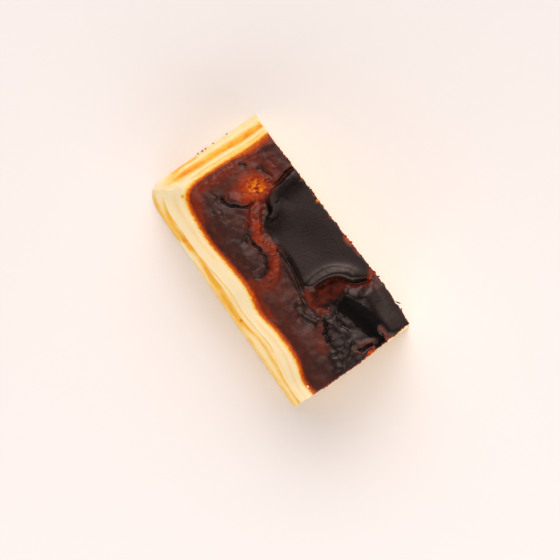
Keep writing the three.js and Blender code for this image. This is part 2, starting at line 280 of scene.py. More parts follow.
# Its ridges and furrows: height, spread on the left and on the right of the line, line.
folds = [
    # the rim of the big sheet, which falls away inwards
    (1.7, 5.0, 1.3, [(-25.2, 31), (-24.4, 24.5), (-23.4, 19.5), (-23.2, 15), (-20.2, 11.8), (-16.2, 9.6),
                     (-14.2, 6.6), (-13.6, 2.6)]),
    (0.9, 0.5, 0.5, [(-28.3, 29), (-28, 24), (-27.2, 20), (-26, 16.4)]),
    (-0.9, 0.7, 0.7, [(-27, 29), (-26.6, 24), (-25.7, 20), (-25, 15.4)]),
    # the big fold, with two edges, and the hollow that it hangs over
    (1.7, 2.6, 2.4, [(20.6, -0.4), (20.2, 2.6), (19.7, 6.4), (19.6, 10), (20, 14), (21.4, 17.6),
                     (24, 20.6), (27, 22.4), (31, 23.2)]),
    (0.25, 0.9, 0.7, [(18.8, 0.6), (18.2, 4.6), (17.3, 9), (17.6, 13.6), (19.2, 17.6), (21.8, 20.8),
                      (25.4, 23)]),
    (0.25, 1.3, 1.0, [(21, 4.6), (21.4, 8), (21.6, 12), (22.6, 16), (25, 18.8), (29.4, 21.4)]),
    (-1.8, 1.1, 1.5, [(22.4, 5), (22.7, 11), (23.9, 15.4), (27, 18.2), (29.6, 20.8), (31.2, 24), (33, 28)]),
    (0.9, 3.2, 5.0, [(30.4, 15.2), (33, 18.2), (34.8, 21.2), (36, 28)]),
    # the corner sheet sags into a valley
    (1.6, 4.2, 3.4, [(32.6, 20.4), (38.6, 21.8), (44, 22.2), (50, 22), (60, 21.6)]),
    (-1.1, 4.6, 9.0, [(30, 9.4), (35.6, 11.6), (43, 13), (49, 13.8), (66, 15)]),
    # the ribbon that was squeezed up
    (1.5, 2.4, 2.2, [(-25, 5.4), (-19, 3.2), (-14, -1), (-8, -1.6), (-3, 0.2), (0.6, 0.4), (3.6, -2.4),
                     (6.4, -5.4), (8, -10)]),
    (0.5, 0.6, 0.8, [(-23, 3), (-18, 0), (-14.4, -3.2)]),
    (1.3, 2.0, 1.1, [(-17.2, -3.4), (-15.2, -0.8), (-12.4, 1.0)]),
    (0.5, 0.5, 0.6, [(-18, 5.4), (-15.4, 2.4), (-12.6, 0.6)]),
    (-0.8, 0.6, 0.5, [(-24.4, 8.6), (-20, 6.6), (-16, 4.4)]),
    # two creases under the big sheet
    (-1.0, 1.5, 0.4, [(-4, 2.2), (1, 2.7), (6, 2.5), (12, 1.9), (17, 0.8), (22, -0.2)]),
    (0.25, 0.9, 0.8, [(1, 1.3), (6, 1.0), (12, 0.5), (18, -0.5)]),
    (-0.25, 0.8, 0.6, [(4, -0.6), (9, -0.6), (15, -1.1), (21, -2.0)]),
    # cracks and their lips
    (-1.4, 0.9, 0.36, [(-35, -5.4), (-31, -5.6), (-29, -4.3), (-27, -2), (-25, 0), (-24.2, 2.3),
                       (-24.4, 6.5)]),
    (-0.8, 0.5, 0.5, [(-34, -3.2), (-33.4, -5), (-34.4, -7)]),
    (0.95, 2.8, 2.0, [(-33, -3.0), (-30, -1.4), (-28, 0.8), (-26.8, 4.2)]),
    (-1.0, 0.8, 0.34, [(-13.5, -5), (-8, -4.8), (-6.5, -4.3), (-4.5, -5), (-2, -4.3), (0, -5.3), (2, -6.2),
                       (3.6, -8), (4, -11), (3, -14)]),
    (0.35, 0.9, 1.0, [(1, -6.6), (1.6, -10), (0.8, -13.5)]),
    (-1.4, 1.4, 2.4, [(26.6, -6.8), (31.2, -5.2), (35, -2.4)]),
    (0.3, 1.6, 1.5, [(21.5, -3.0), (25, -3.4), (29, -3.0), (33, -1.6)]),
    (-0.45, 0.9, 0.6, [(20, -1.4), (25, -1.8), (30, -1.2), (34.4, -0.4)]),
    # the shoulder along the -X edge
    (0.8, 1.5, 1.4, [(-41.4, 29), (-41.6, 20), (-42.6, 10), (-43.2, 2), (-43, -8), (-42, -12)]),
    (-0.7, 1.2, 0.8, [(-36.4, 15.4), (-33, 16.4), (-30.4, 17.4), (-28, 18)]),
    (-0.6, 0.8, 0.7, [(-41.6, 10.4), (-40.2, 10.8), (-39, 11.6)]),
    # small creases of the puffed skin
    (-0.35, 0.7, 0.4, [(-38.6, -7.6), (-36, -7.4), (-33.2, -8.6)]),
    (-0.3, 0.6, 0.4, [(-31, -9.6), (-28.6, -9.2), (-26, -10.2)]),
    (-0.4, 0.6, 0.4, [(-36.4, 21.2), (-34, 21.8), (-31.8, 21.4)]),
    (-0.35, 1.0, 0.6, [(-14.8, -5.2), (-12.8, -7.2), (-12.4, -10)]),
    # small folds of the wrinkled sheet and of the patch beside it
    (-1.5, 0.8, 0.6, [(34.2, 2.0), (35.4, 0.8), (37, 0.6), (38.6, -0.4)]),
    (-1.5, 1.2, 0.6, [(38.2, 0.4), (39.4, -0.6), (40.2, -2.2), (41.6, -2.8)]),
    (-1.2, 0.9, 0.7, [(41.4, -1.2), (42.6, -2.4), (44.6, -3.0)]),
    (0.7, 0.7, 0.6, [(30.6, 1.6), (32.6, 4.4), (34, 5.2)]),
    (0.7, 0.6, 0.6, [(33.2, 0.6), (34.4, 2.6), (34.8, 5)]),
    (-1.5, 0.7, 0.5, [(54.4, 5.4), (55.6, 8), (56, 13)]),
    (0.5, 1.0, 0.6, [(52.8, 6.6), (54, 10), (55.2, 14)]),
    (-0.6, 0.8, 0.4, [(34.8, 7.6), (38, 6.6), (42, 6.2), (46, 7)]),
    (-0.6, 0.4, 0.9, [(46.4, 5.4), (48.6, 3.4), (50, 0.4), (51.6, -3.6), (50, -6.4)]),
    (-0.5, 0.5, 0.8, [(51, 6.4), (52.8, 3), (55, 0), (56.4, -4)]),
    (-1.0, 0.5, 0.4, [(54, 18.2), (56.4, 17.4), (60, 16.8)]),
    # the big sheet's thin -X edge
    (0.4, 0.4, 0.45, [(-24.4, 24), (-23.7, 19.5), (-23.4, 15), (-22.6, 12.6)]),
]

# Soft swellings and hollows: height, middle, half sizes.
puffs = [
    (0.8, (-25, -9.8), (10.5, 6.4)), (1.0, (-5, -10.6), (8.4, 6.2)), (0.6, (-36, 6), (8, 12)),
    (1.1, (24, -4), (4.5, 3)), (0.9, (16, -11), (16, 8)), (-1.2, (25, 8), (5, 8)),
    (-0.5, (4, 14), (18, 13)), (-0.9, (-20.4, 8), (5.4, 3.4)), (-0.5, (-12.4, -8), (2.6, 2.2)),
    (0.7, (32.6, 3), (2.6, 3.2)), (-0.8, (-29, 9.5), (5, 6)), (0.7, (-20.6, 7.4), (1.6, 1.3)),
    (0.6, (-18.2, 5.8), (1.4, 1.2)), (0.8, (8, -7), (6, 5)), (0.6, (42, -12), (12, 7)),
    (0.8, (-12.6, -0.2), (2.4, 1.8)), (0.5, (-19, 3.4), (2.6, 2)),
    # lumps of the wrinkled sheet
    (0.4, (50.4, 3.6), (3.8, 2.6)), (0.4, (53.4, -1.4), (3, 3.8)), (0.3, (47.2, -0.4), (3, 2.4)),
    (0.5, (41.4, 3.4), (3.6, 2)), (0.45, (50, -4.8), (3, 2.8)), (0.4, (55.6, -6), (2.4, 3.6)),
    (0.35, (45.6, 6), (3.4, 2)), (0.5, (38.4, 2.6), (2, 2)),
]


def crust_height(x, y):
    """The crust's height: its level, plus a smooth step at the edge of each sheet, a bell across each
    fold, stronger here and weaker there, and a bump on each puff."""
    z = np.full(x.shape, crust_level)
    for rise, soft, outline in sheets:
        z += rise * smooth(0.5 + depth_inside(outline, x, y) / (2 * soft))
    for number, (height, left, right, points) in enumerate(folds):
        wide = left + right > 3.5
        uneven = 0.12 * grain(x, y, 8, 60 + number) if wide else 0.45 * grain(x, y, 4, 60 + number)
        z += height * (1 + uneven) * stroke(x, y, points, left, right, 0.17 if wide else 0.12)
    for height, middle, half in puffs:
        z += height * spot(x, y, middle, half)
    return z


def crust_places():
    """The crust's net of points: a Coons patch, which blends the four edges of the crust."""
    u, v = np.linspace(0, 1, cells_x + 1), np.linspace(0, 1, cells_y + 1)
    front, back = along(through(crust_front), u)[:, None], along(through(crust_back), u)[:, None]
    left, right = along(through(crust_left), v)[None], along(through(crust_right), v)[None]
    u, v = u[:, None, None], v[None, :, None]
    corners = ((1 - u) * (1 - v) * left[:, :1] + (1 - u) * v * left[:, -1:]
               + u * (1 - v) * right[:, :1] + u * v * right[:, -1:])
    return (1 - u) * left + u * right + (1 - v) * front + v * back - corners


def round_the_rim(net):
    """The net's outer points in turn, anticlockwise from its first corner."""
    return np.concatenate([net[:-1, 0], net[-1, :-1], net[:0:-1, -1], net[0, :0:-1]])


places = crust_places()
x, y = places[..., 0], places[..., 1]
baked_edges = np.vstack([through(crust_left)[::-1], through(crust_front)[1:]])
edge = distance_from(baked_edges, x, y)
# The crust rounds down to its baked edges.
shoulder_reach, shoulder_drop = 6.0, 1.6
# The sheets, the valley and the creases under the big sheet have calm edges and no small wrinkles.
valley = [(32.4, 9.6), (34, 17), (42, 21), (66, 21), (66, 14), (54, 12.6), (44, 10.6), (38, 9)]
creased = [(0, 4), (21, 4), (21, -2.4), (14, -1.6), (5, -0.4)]
calm = np.maximum.reduce([smooth(0.5 + depth_inside(sheet, x, y) / 3)
                          for sheet in (big_sheet, corner_sheet, valley, creased)])
# Folds and colours follow places that wander a little, so that no line is even.
wander = 1 - 0.7 * calm
xw = x + wander * (0.7 * grain(x, y, 6, 31) + 0.42 * grain(x, y, 2.1, 32) + 0.15 * grain(x, y, 0.9, 33))
yw = y + wander * (0.7 * grain(x, y, 6, 34) + 0.42 * grain(x, y, 2.1, 35) + 0.15 * grain(x, y, 0.9, 36))
z = crust_height(xw, yw)
z -= shoulder_drop * np.maximum(0, 1 - edge / shoulder_reach) ** 2
leather = 0.30 * grain(x, y, 4.4, 1) + 0.08 * grain(x, y, 2.2, 2) + 0.03 * grain(x, y, 1.0, 47)
leather *= 1 - 0.94 * calm
ridged = 1 - 2 * np.abs(grain(x + 1.2 * grain(x, y, 4, 3), y, 2.2, 4))
fine_ridged = 1 - 2 * np.abs(grain(x, y + 0.8 * grain(x, y, 2, 37), 1.2, 38))
# Where the skin is rough: how much, middle, half sizes.
rough_zones = [(1.0, (-29.5, 9), (8, 9)), (0.4, (30, 2), (10, 6)), (0.9, (-14, 0), (15, 6)),
               (0.9, (31.5, 27), (5, 8)), (0.32, (48, 0), (14, 8)), (0.7, (-43, 2), (4.5, 13)),
               (0.3, (-20, -9), (22, 8)), (0.35, (-34, 22), (8, 8))]
roughness = np.clip(sum(much * spot(x, y, at, half) for much, at, half in rough_zones), 0, 1) * (1 - calm)
z += leather + (0.26 * ridged + 0.12 * fine_ridged) * roughness

# Short wrinkles at random, most of them where the skin is rough, and lying roughly along the ribbon.
wrinkle_count = 150
draw = np.random.default_rng(71)
for _ in range(wrinkle_count):
    much, at, half = rough_zones[draw.integers(len(rough_zones))]
    middle = np.array(at) + np.array(half) * draw.uniform(-0.9, 0.9, 2)
    turn = np.radians(draw.normal(-35, 45))
    reach = 0.5 * draw.uniform(1.6, 4.5) * np.array([np.cos(turn), np.sin(turn)])
    bow = draw.uniform(-0.5, 0.5) * np.array([-reach[1], reach[0]])
    spread = draw.uniform(0.35, 0.7)
    height = much * draw.choice([-1, 1]) * draw.uniform(0.15, 0.45)
    line = [middle - reach, middle + bow, middle + reach]
    z += height * stroke(x, y, line, spread, spread, 0.3) * (1 - calm)

# Wrinkles spread round the pale spot, and others run across the ribbon. Each darkens the skin in its trough
# and lightens it on its ridge, partly the skin's own tone and partly painted shade and highlight.
fan_middle, fan_count = np.array([-29.4, 9.0]), 34
ribbon_line, ribbon_count = through([(-24, 5.6), (-19, 3.4), (-14, -0.6), (-8, -1.6), (-3, 0.2), (0.6, 0.4),
                                     (3.6, -2.4), (6.4, -5.4), (8, -10)]), 60
wrinkle_tone_and_shade = np.zeros(x.shape)
for number in range(fan_count + ribbon_count):
    if number < fan_count:
        turn = 2 * np.pi * number / fan_count
        out_of_middle = np.array([np.cos(turn), 1.2 * np.sin(turn)])
        turn = draw.normal(np.radians(70), 0.5)
        way = 0.6 * out_of_middle + 0.7 * np.array([np.cos(turn), np.sin(turn)])
        start = fan_middle + out_of_middle * draw.uniform(0.2, 4.4) - 0.5 * way
        end = start + way * draw.uniform(1.6, 3.6)
    else:
        middle = along(ribbon_line, draw.uniform(0, 1)) + draw.uniform(-0.7, 0.7, 2)
        turn = np.radians(draw.normal(-52, 22))
        way = draw.uniform(0.8, 2.0) * np.array([np.cos(turn), np.sin(turn)])
        start, end = middle - way, middle + way
    sign = draw.choice([-1, 1])
    bell = stroke(x, y, [start, (start + end) / 2 + draw.uniform(-0.3, 0.3, 2), end], 0.36, 0.36, 0.3)
    z += sign * draw.uniform(0.25, 0.55) * bell
    contrast = 1.5 if number < fan_count else 0.45
    wrinkle_tone_and_shade += contrast * (0.12 if sign < 0 else -0.10) * draw.uniform(0.4, 1) * bell

# How far each place is browned, from 0 for custard to 1 for the blackest skin, with painted shade and
# highlights laid in.
black_end = [(25, 17.6), (29, 16), (31.6, 12), (31.8, 9), (35, 6), (35.5, 0.4), (41, -2.6), (46, -3),
             (49, -6), (54, -9), (66, -10), (66, 34), (31, 34), (31, 25)]
brown_and_shade = 0.77 + 0.06 * grain(x, y, 6, 5) + 0.06 * grain(x, y, 2.4, 6) + 0.04 * grain(x, y, 1.1, 39)
end_blackness = smooth(0.5 + (depth_inside(black_end, xw, yw) + grain(x, y, 2.2, 8)) / 3.0)
brown_and_shade += (0.95 + 0.015 * ridged - brown_and_shade) * end_blackness
big_blackness = smooth(0.5 + depth_inside(big_sheet, xw, yw) / 1.6)
brown_and_shade += (0.965 - brown_and_shade) * big_blackness
blackness = np.maximum(big_blackness, end_blackness)
reddish_front = smooth((-3 - y) / 8) * smooth((x - 2) / 6) * (1 - blackness)
brown_and_shade += (0.745 + 0.04 * grain(x, y, 4, 9) - brown_and_shade) * 0.8 * reddish_front

# Strokes of browning and of painted shade and highlight, laid on in turn: tone, strength, spread, line.
tinges_and_shade = [
    # reddish skin round the pale spot and along the ribbon
    (0.64, 0.9, 3.0, [(-34, 21), (-30, 20), (-27, 17), (-26, 13)]),
    # redder skin along the -X shoulder, made lighter as well: painted sheen where the shoulder catches the
    # light
    (0.575, 0.9, 3.0, [(-41, 17), (-42, 8), (-42.6, 0), (-41.6, -8)]),
    (0.64, 0.8, 4.0, [(-36, 13), (-37, 7), (-33, 2), (-29, 1)]),
    (0.575, 1.0, 3.2, [(-25, 7), (-21, 4.2), (-17, 1.6), (-14, -1)]),
    (0.53, 1.0, 3.1, [(-16, 0), (-12, -2.2), (-8, -2), (-3, 0), (0.6, 0.2), (3.6, -2.4), (6.4, -5.4),
                      (8, -9)]),
    # painted highlight: the ribbon's knot is made lighter where it catches the light
    (0.45, 0.9, 1.5, [(-15, 1.0), (-12.6, -0.2), (-10.6, -1.8)]),
    (0.50, 0.9, 1.1, [(-3.4, 0.2), (-0.4, 0.6), (2, -0.6)]),
    (0.62, 0.8, 3.4, [(9, -8), (8, -12), (9, -16)]),
    (0.50, 0.9, 1.6, [(-44, -10), (-42, -14), (-37, -16.2), (-30, -17.6)]),
    (0.58, 0.9, 2.6, [(-42, -11), (-39, -14), (-34, -15)]),
    (0.54, 0.9, 2.2, [(4, -16), (9, -17), (15, -17.6), (22, -17.6)]),
    # the hollow and the patch beside it
    (0.735, 1.0, 3.6, [(26, 2), (26.6, 8), (27, 13)]),
    # painted shade along the hollow's +X edge
    (0.95, 0.9, 1.2, [(30.4, 4.6), (31.4, 8), (31.6, 12)]),
    (0.65, 1.0, 1.9, [(31.4, 2), (33, 3.8)]),
    (0.62, 1.0, 1.3, [(20.6, 1.0), (23, 1.6)]),
    (0.64, 0.9, 1.8, [(19, -1.6), (23, -1.4), (27, 0)]),
    (0.69, 1.0, 1.5, [(23.8, 14.6), (27, 16.8), (29.8, 19), (31.8, 21.6), (33.6, 26)]),
    (0.64, 0.8, 2.6, [(35, -3.4), (38.6, -2.4), (42, -5), (45, -7)]),
    # painted shade: furrows, cracks and creases, the slope inside the big sheet's rim and the skin under its
    # edge,
    # the flap below the hollow and the corner sheet's valley are darkened where shade falls on them; a few
    # strokes here are darker or redder skin
    (0.92, 0.8, 0.8, [(22.6, 15.4), (25, 18), (27.8, 20), (30, 22.4), (31.6, 25.4)]),
    (0.86, 0.9, 1.3, [(-30, -4.2), (-27.6, -1.4), (-25.4, 1), (-25, 4)]),
    (1.00, 1.0, 0.5, [(-35, -5.4), (-31, -5.6), (-29, -4.3), (-27, -2), (-25, 0), (-24.2, 2.3), (-24.4, 5)]),
    (0.99, 0.8, 3.2, [(-21, 24), (-20.4, 17), (-18, 12), (-14.6, 7.4)]),
    (0.99, 0.7, 1.3, [(-13.6, 13), (-13, 8), (-12.6, 4)]),
    (0.99, 1.0, 0.6, [(-13.5, -5), (-8, -4.8), (-6.5, -4.3), (-4.5, -5), (-2, -4.3), (0, -5.3), (2, -6.2),
                      (3.6, -8), (4, -11), (3.4, -13)]),
    (0.94, 0.9, 1.2, [(-35.6, 15.4), (-33, 16.4), (-30, 17.2)]),
    (0.94, 0.9, 0.8, [(-41.4, 10.5), (-39.2, 11.2)]),
    (0.90, 0.8, 0.8, [(-38.6, -7.6), (-36, -7.4), (-33.2, -8.6)]),
    (0.90, 0.8, 0.8, [(-31, -9.6), (-28.6, -9.2), (-26, -10.2)]),
    (0.90, 0.8, 1.4, [(-14.8, -5.2), (-12.8, -7.2), (-12.4, -10)]),
    (0.92, 0.9, 2.2, [(-22, 9), (-18.6, 8)]),
    (1.00, 1.0, 0.9, [(-24.4, 12.4), (-21.6, 10.6), (-17.6, 9.0), (-15.4, 6.2)]),
    (0.66, 0.9, 1.5, [(-22, 8.2), (-19.6, 6.6), (-17.8, 5.4)]),
    (0.80, 0.8, 1.4, [(5, 1.0), (12, 0.5), (18, -0.5)]),
    (0.98, 0.9, 0.8, [(-1, 2.2), (6, 2.0), (12, 1.4), (17, 0.4), (20, -0.2)]),
    (0.92, 0.7, 0.7, [(6, -0.7), (9, -0.8), (15, -1.3), (20, -2.1)]),
    (0.92, 0.9, 2.2, [(24, -4.6), (28, -5), (31, -4.6), (34.4, -3)]),
    (0.95, 0.8, 0.8, [(20, -1.5), (25, -2.0), (30, -1.4), (34.4, -0.6)]),
    (0.86, 0.7, 5.0, [(49, -12), (58, -9)]),
    (0.86, 0.6, 3.6, [(-34, -10), (-26, -9.6), (-18, -9.6), (-11, -10.5), (-1, -10)]),
    (0.98, 1.0, 0.8, [(34.2, 2.0), (35.4, 0.8), (37, 0.6), (38.6, -0.4)]),
    (0.98, 1.0, 1.0, [(38.6, 0), (39.6, -1), (40.4, -2.4), (41.6, -2.8)]),
    (0.97, 1.0, 0.8, [(41.4, -1.2), (42.6, -2.4), (44.6, -3.0)]),
    (1.02, 1.0, 2.7, [(34, 12.6), (38, 15.2), (43, 17), (49, 17.8), (58, 17.6)]),
    (1.00, 0.9, 3.4, [(36, 10), (43, 12.4), (50, 13.8), (58, 14.4)]),
    # torn places at the cuts, where the orange under the skin shows
    (0.62, 1.0, 1.4, [(29, 30), (30.6, 28.6), (32.6, 26.4)]),
    (0.74, 0.9, 2.4, [(34, 30), (36, 27.6)]),
    (0.57, 1.0, 1.0, [(52.2, 19.0), (54.6, 18.9), (58, 18.6)]),
    # painted shade: the crack beside the torn strip is blackened
    (1.00, 1.0, 0.5, [(53.6, 18.3), (56.4, 17.5), (60, 16.9)]),
    (0.68, 1.0, 0.9, [(52.8, 7), (53.8, 10.6), (55, 14)]),
    (0.66, 1.0, 0.5, [(53.6, 3.4), (55.2, 5.4)]),
]
for tone, strength, spread, points in tinges_and_shade:
    brown_and_shade += (tone - brown_and_shade) * strength * stroke(xw, yw, points, spread, spread, 0)
glow_texture = 1 + 0.45 * ridged + 0.18 * fine_ridged + 0.3 * grain(x, y, 1.6, 10)
blotches = grain(x, y, 2.0, 48) + 0.6 * grain(x, y, 0.9, 49)
brown_and_shade += 0.04 * blotches * (1 - calm) * (1 - 0.8 * blackness)
wide_blotches = grain(x, y, 3.0, 65) + 0.4 * grain(x, y, 1.2, 66)
brown_and_shade += 0.19 * wide_blotches * spot(x, y, (27, 8), (7, 12))
# The pale spot is browned less and less towards its middle: tone, middle, half sizes, strength.
pale_spot = [(0.60, (-30, 9), (11, 13), 1.6), (0.48, (-29.4, 8.6), (9.2, 10.4), 1.55),
             (0.38, (-29.2, 9.2), (6.6, 7.6), 1.2), (0.33, (-28.8, 10), (3.6, 4.4), 0.9)]
spot_lean = -15
for tone, middle, half, much in pale_spot:
    glow = np.clip(much * spot(xw, yw, middle, half, spot_lean) * glow_texture, 0, 1)
    brown_and_shade += (tone - brown_and_shade) * glow
veins = spot(xw, yw, fan_middle, (9, 10), spot_lean)
brown_and_shade += veins * (0.09 * grain(x, y, 1.3, 46) - 0.03 * fine_ridged) + wrinkle_tone_and_shade
# Along the baked edges the skin thins out to amber over a strip about this wide.
orange_width = 0.88 + (smooth((y - 8) / 8) - 0.2) * smooth((-38 - x) / 3)
orange_width += 0.5 * spot(x, y, (12, -19), (16, 6))
from_edge = edge / orange_width + 0.35 * grain(x, y, 1.7, 7) + 0.25 * grain(x, y, 0.9, 63)
edge_tone = np.interp(from_edge, [-1, 0, 0.5, 1.0, 1.5, 2.1], [0.29, 0.33, 0.39, 0.46, 0.60, 0.74])
on_edge = 1 - smooth((from_edge - 1.3) / 1.2)
brown_and_shade += (edge_tone - brown_and_shade) * on_edge

# Along the two cuts the skin is torn off in a narrow ragged strip, wider in some places.
back_line, right_line = through(crust_back), through(crust_right)
from_back, from_right = distance_from(back_line, x, y), distance_from(right_line, x, y)
bare_on_back = np.clip(0.05 + 0.4 * grain(x, 0 * x, 1.7, 41) + 0.4 * grain(x, 0 * x, 0.8, 42), 0.05, 0.7)
bare_on_right = np.clip(0.3 + 0.5 * grain(y, 0 * y, 1.7, 43) + 0.4 * grain(y, 0 * y, 0.8, 44), 0.1, 0.8)
# Torn places along the +Y cut: middle, half length, width.
torn_places = [(12.6, 3.2, 1.5), (19, 2.8, 0.9), (-20.6, 0.6, 1.3), (-9, 1.0, 1.2), (-12, 0.8, 0.5),
               (30.5, 2.4, 1.4), (-28, 0.8, 0.6)]
for middle, half, width in torn_places:
    bare_on_back += width * smooth(1.4 - np.abs(x - middle) / half)
bare_on_right += 1.3 * smooth(1.5 - np.abs(y - 9.6) / 2.6)
bare = np.maximum(smooth(1.3 - from_back / bare_on_back), smooth(1.3 - from_right / bare_on_right))
bare_tone = (0.50 + 0.16 * grain(x + y, x - y, 1.3, 45) - 0.16 * spot(x, y, (12.6, 28.5), (4, 3))
             - 0.3 * spot(x, y, (-9, 28.2), (1.8, 2)) - 0.12 * spot(x, y, (-20.6, 28), (1.6, 2))
             - 0.12 * spot(x, y, (58.5, 9.6), (3, 4)))
brown_and_shade += (bare_tone - brown_and_shade) * bare
z -= 0.35 * bare

# The sides: columns of points from the rim down to the base. A baked side bulges, a cut side is straight.
rim = np.column_stack([round_the_rim(x), round_the_rim(y)])
rim_z = round_the_rim(z)
share_x, share_y = np.arange(cells_x) / cells_x, np.arange(cells_y) / cells_y
base = np.vstack([along(through(base_front), share_x), along(through(base_right), share_y),
                  along(through(base_back), 1 - share_x), along(through(base_left), 1 - share_y)])
# The columns run round from the front corner: the -Y side, the two cuts, the -X side.
columns = len(rim)
column_number = np.arange(columns)
left_start = 2 * cells_x + cells_y
on_left = column_number > left_start
baked = (column_number <= cells_x) | (column_number >= left_start)
on_front = baked & ~on_left
from_corner = columns - column_number
ahead = np.roll(base, -1, 0) - np.roll(base, 1, 0)
ahead[0] = (1, -1)
outward = np.column_stack([ahead[:, 1], -ahead[:, 0]])
outward /= np.hypot(*outward.T)[:, None]
# A cut face starts with the shape of the baked side next to it and is straight from this far on.
cut_start = 12.0
baked_ends = np.array([crust_front[-1], crust_left[-1]], float)
to_baked = np.min([np.hypot(*(rim - end).T) for end in baked_ends], 0)
cut = np.where(baked, 0.0, smooth(to_baked / cut_start))
walked = np.concatenate([[0], np.cumsum(np.hypot(*np.diff(rim, axis=0).T))])

profile = through(side_profile)
profile_steps = np.hypot(np.diff(profile[:, 0]) * flare, np.diff(profile[:, 1]) * side_height)
profile_walk = np.concatenate([[0], np.cumsum(profile_steps)]) / profile_steps.sum()
# Rows of points stand a little closer together towards the rim.
row = (np.arange(1, side_rows + 1) / side_rows) ** 1.15
share = np.interp(row, profile_walk, profile[:, 0])[:, None]
level = np.interp(row, profile_walk, profile[:, 1])[:, None]
side_z = level * rim_z[None]
fallen = rim_z[None] - side_z
reach = share + (1 - level - share) * cut[None]
side = rim[None] + (base - rim)[None] * reach[..., None]


def ragged(s):
    """How far the torn edge of a cut stands out at these distances round the rim: three sizes of noise."""
    return (0.2 + 0.45 * grain(s, 0 * s, 4.6, 14) + 0.3 * grain(s, 0 * s, 1.6, 15)
            + 0.22 * grain(s, 0 * s, 0.8, 18))


# The crease left by a fold in the paper falls from the +Y cut to the round corner and runs on low.
crease_height = np.where(on_left, np.interp(rim[:, 1], [-15, -8, 10, 30], [11.5, 15, 18, 23]),
                         10.3 + 1.2 * grain(rim[:, 0], 0 * rim[:, 0], 14, 11))
crease = np.exp(-(((side_z - crease_height[None]) / 2.2) ** 2)) * baked[None]
# s is the distance walked round the rim, h the height, and w the share of the flare.
s, h = np.broadcast_arrays(walked[None], side_z)
w = share + 0 * h
# Unevenness in mm: from the paper on the baked sides, from the knife on the cut ones.
paper = 0.25 * grain(s + 0.5 * h, h, 9, 12) + 0.12 * grain(s, h * 2.2, 3.5, 13)
knife = 0.10 * grain(s, 5 * h, 14, 16) + 0.07 * grain(s, h, 2.2, 17)
# Small air holes opened by the knife.
air_holes = 110
pits = np.zeros(s.shape)
for _ in range(air_holes):
    middle = (draw.uniform(walked[cells_x], walked[left_start]), draw.uniform(2, 38))
    size = draw.uniform(0.8, 1.7)
    pits = np.maximum(pits, draw.uniform(0.25, 0.6) * spot(s, h, middle, (size, size * draw.uniform(0.6, 1))))
knife -= pits
push = (-1.1 * crease + paper * baked[None] * smooth(h / 4) * smooth(fallen / 3)
        + cut[None] * (ragged(s) * (1 - smooth(fallen / 1.6)) + knife * smooth(fallen / 1.5)))
side = side + outward[None] * push[..., None]
rim_moved = rim + outward * (cut * ragged(walked))[:, None]

# Browning of the sides. The -X side is a little more golden, and less so near the round corner.
left_share = on_left * smooth(from_corner / 30)
side_brown_and_shade = 0.02 + 0.02 * grain(s, h, 6, 21) + 0.026 * grain(s, h, 1.4, 22) + 0.11 * left_share[None]
side_brown_and_shade += 0.022 * grain(0.25 * s, flare * w, 0.9, 61) * baked[None]
from_rim = np.hypot(fallen, reach * flare)
baked_fade = np.interp(from_rim + 0.4 * grain(s, h, 1.7, 23) + 0.25 * grain(s, h, 0.9, 62),
                       [0, 0.5, 1.1, 1.8, 3.2], [0.35, 0.31, 0.21, 0.12, 0.05])
cut_fade = np.interp(fallen + 0.25 * grain(s, h, 1.6, 24), [0.2, 0.7, 1.1, 1.8, 3.0, 6],
                     [0.85, 0.62, 0.42, 0.26, 0.18, 0.06])
side_brown_and_shade = np.where(baked[None], np.maximum(side_brown_and_shade, baked_fade), np.maximum(side_brown_and_shade, cut_fade))
drag = grain(s, 0.12 * h, 1.1, 52) + 0.7 * grain(s, 0.3 * h, 3.5, 53)
side_brown_and_shade += cut[None] * (0.012 * drag + 0.035 * smooth((h - 22) / 18) * (1 + 0.5 * grain(s, h, 7, 54)))
# A brown line along the base of each cut, and painted shade in the knife's air holes.
side_brown_and_shade += cut[None] * (0.10 * smooth((2.6 + grain(s, 0 * s, 4, 29) - h) / 1.6) + 0.10 * pits)

